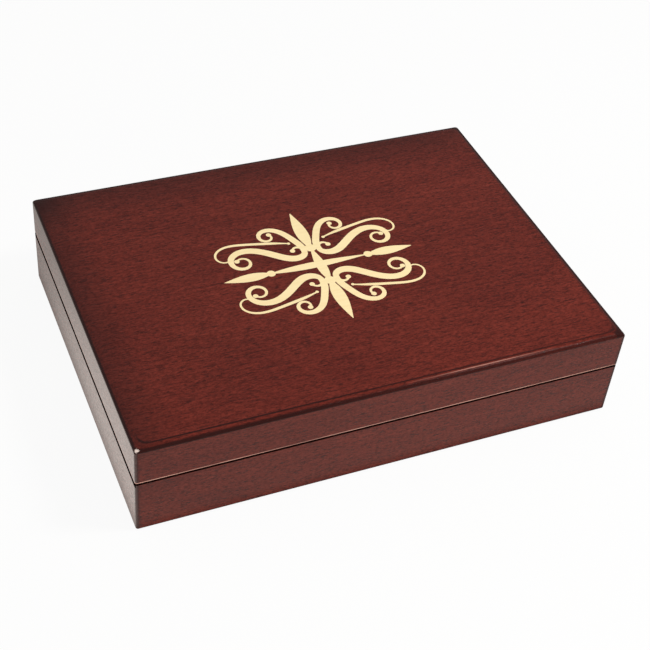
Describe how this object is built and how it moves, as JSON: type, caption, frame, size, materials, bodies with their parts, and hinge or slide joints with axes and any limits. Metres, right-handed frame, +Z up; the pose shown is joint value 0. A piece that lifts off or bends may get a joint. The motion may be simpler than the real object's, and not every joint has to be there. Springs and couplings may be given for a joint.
{
  "type": "humidor",
  "caption": "Low lacquered wooden humidor with a hinged lid, cedar lining, sliding divider, and a dial hygrometer and a humidifier under the lid.",
  "frame": {"origin": "middle of the underside, on the felt that the box stands on", "axes": "+X along the front, to the right of someone facing it, +Y to the back, +Z up"},
  "size_m": [0.254, 0.1954, 0.0543],
  "materials": {
    "mahogany": "satin lacquer over fine straight grain",
    "cedar": "bare planed Spanish cedar",
    "cream_inlay": "satin lacquer over pale veneer",
    "felt": "pressed wool felt",
    "brass": "polished",
    "steel": "nickel plated",
    "black_plastic": "moulded, fine matt",
    "foam": "open cell foam",
    "rubber": "moulded",
    "lens": "polished flat glass",
    "dial": "matt white paint",
    "needle": "black paint"
  },
  "bodies": {
    "base": {"base_front_wall": "mahogany", "base_back_wall": "mahogany", "base_left_wall": "mahogany", "base_right_wall": "mahogany", "base_bottom_board": "mahogany", "base_felt": "felt", "liner_front": "cedar", "liner_back": "cedar", "liner_left": "cedar", "liner_right": "cedar", "liner_floor": "cedar", "left_hinge_base_leaf": "brass", "left_hinge_pin": "brass", "left_hinge_base_screw_1": "brass", "left_hinge_base_screw_2": "brass", "right_hinge_base_leaf": "brass", "right_hinge_pin": "brass", "right_hinge_base_screw_1": "brass", "right_hinge_base_screw_2": "brass"},
    "lid": {"lid_front_rail": "mahogany", "lid_back_rail": "mahogany", "lid_left_rail": "mahogany", "lid_right_rail": "mahogany", "lid_top_board": "mahogany", "lid_cedar_panel": "cedar", "lid_ornament": "cream_inlay", "steel_plate_1": "steel", "steel_plate_2": "steel", "left_hinge_lid_leaf": "brass", "left_hinge_lid_screw_1": "brass", "left_hinge_lid_screw_2": "brass", "right_hinge_lid_leaf": "brass", "right_hinge_lid_screw_1": "brass", "right_hinge_lid_screw_2": "brass"},
    "divider": {"divider": "cedar"},
    "humidifier": {"humidifier_case": "black_plastic", "humidifier_cover": "black_plastic", "humidifier_foam": "foam", "magnet_1": "steel", "magnet_2": "steel"},
    "hygrometer": {"hygrometer_case": "brass", "hygrometer_rubber_ring": "rubber", "hygrometer_bezel": "brass", "hygrometer_lens": "lens", "hygrometer_dial": "dial", "humidity_coil": "brass"},
    "needle": {"hygrometer_needle": "needle"},
    "calibration_screw": {"calibration_screw": "brass"}
  },
  "joints": [
    {"name": "lid_hinge", "type": "hinge", "parent": "base", "child": "lid", "pos_m": [0, 0.09725, 0.03225], "axis": [-1, 0, 0], "range_deg": [0, 95]},
    {"name": "divider_slide", "type": "slide", "parent": "base", "child": "divider", "axis": [1, 0, 0], "range_m": [-0.13375, 0.07875]},
    {"name": "humidifier_pull", "type": "slide", "parent": "lid", "child": "humidifier", "axis": [0, 0, -1], "range_m": [0, 0.012]},
    {"name": "hygrometer_pull", "type": "slide", "parent": "lid", "child": "hygrometer", "axis": [0, 0, -1], "range_m": [0, 0.009]},
    {"name": "needle_turn", "type": "hinge", "parent": "hygrometer", "child": "needle", "pos_m": [0.05975, 0, 0.0438], "axis": [0, 0, 1], "range_deg": [-189, 81], "stiffness_Nm_per_rad": 0.0001},
    {"name": "calibration_turn", "type": "hinge", "parent": "hygrometer", "child": "calibration_screw", "pos_m": [0.05975, 0, 0.0492], "axis": [0, 0, 1], "range_deg": [-30, 30]}
  ]
}
